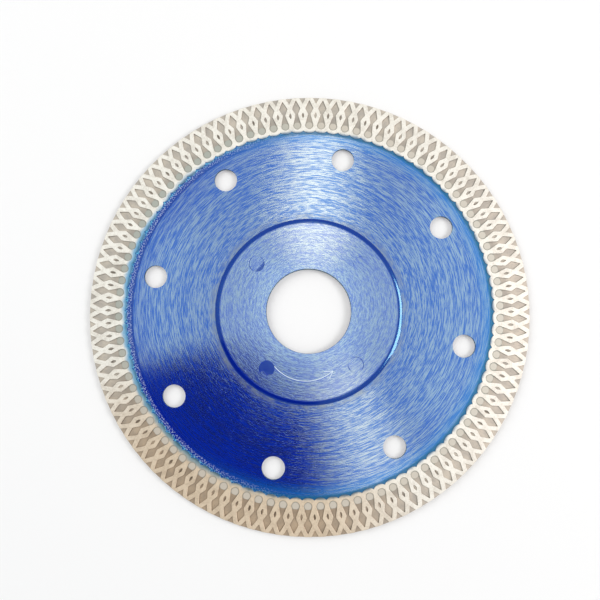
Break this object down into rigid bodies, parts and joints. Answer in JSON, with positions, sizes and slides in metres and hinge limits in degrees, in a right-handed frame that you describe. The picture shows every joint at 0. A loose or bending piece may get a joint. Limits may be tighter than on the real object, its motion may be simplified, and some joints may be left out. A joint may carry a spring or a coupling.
{
  "type": "diamond saw blade",
  "caption": "Thin round diamond saw blade for an angle grinder: steel disc with cooling holes, X-mesh sintered rim and a hub thickened by riveted plates round the arbor bore.",
  "frame": {"origin": "centre of the arbor bore, halfway through the blade", "axes": "+Z along the bore, out of the front face; +X to the right and +Y up as the picture shows the front face"},
  "size_m": [0.115, 0.115, 0.0018],
  "materials": {
    "diamond_matrix": "bare sintered metal, ribs brightened by grinding, sandy pockets",
    "core_lacquer": "transparent blue lacquer over ground steel",
    "plate_lacquer": "transparent blue lacquer over ground steel",
    "rivet_steel": "ground flush and lacquered over"
  },
  "bodies": {
    "root": {"diamond_rim": "diamond_matrix", "steel_core": "core_lacquer", "front_hub_plate": "plate_lacquer", "back_hub_plate": "plate_lacquer", "hub_rivet_1": "rivet_steel", "hub_rivet_2": "rivet_steel", "hub_rivet_3": "rivet_steel", "hub_rivet_4": "rivet_steel"}
  },
  "joints": []
}
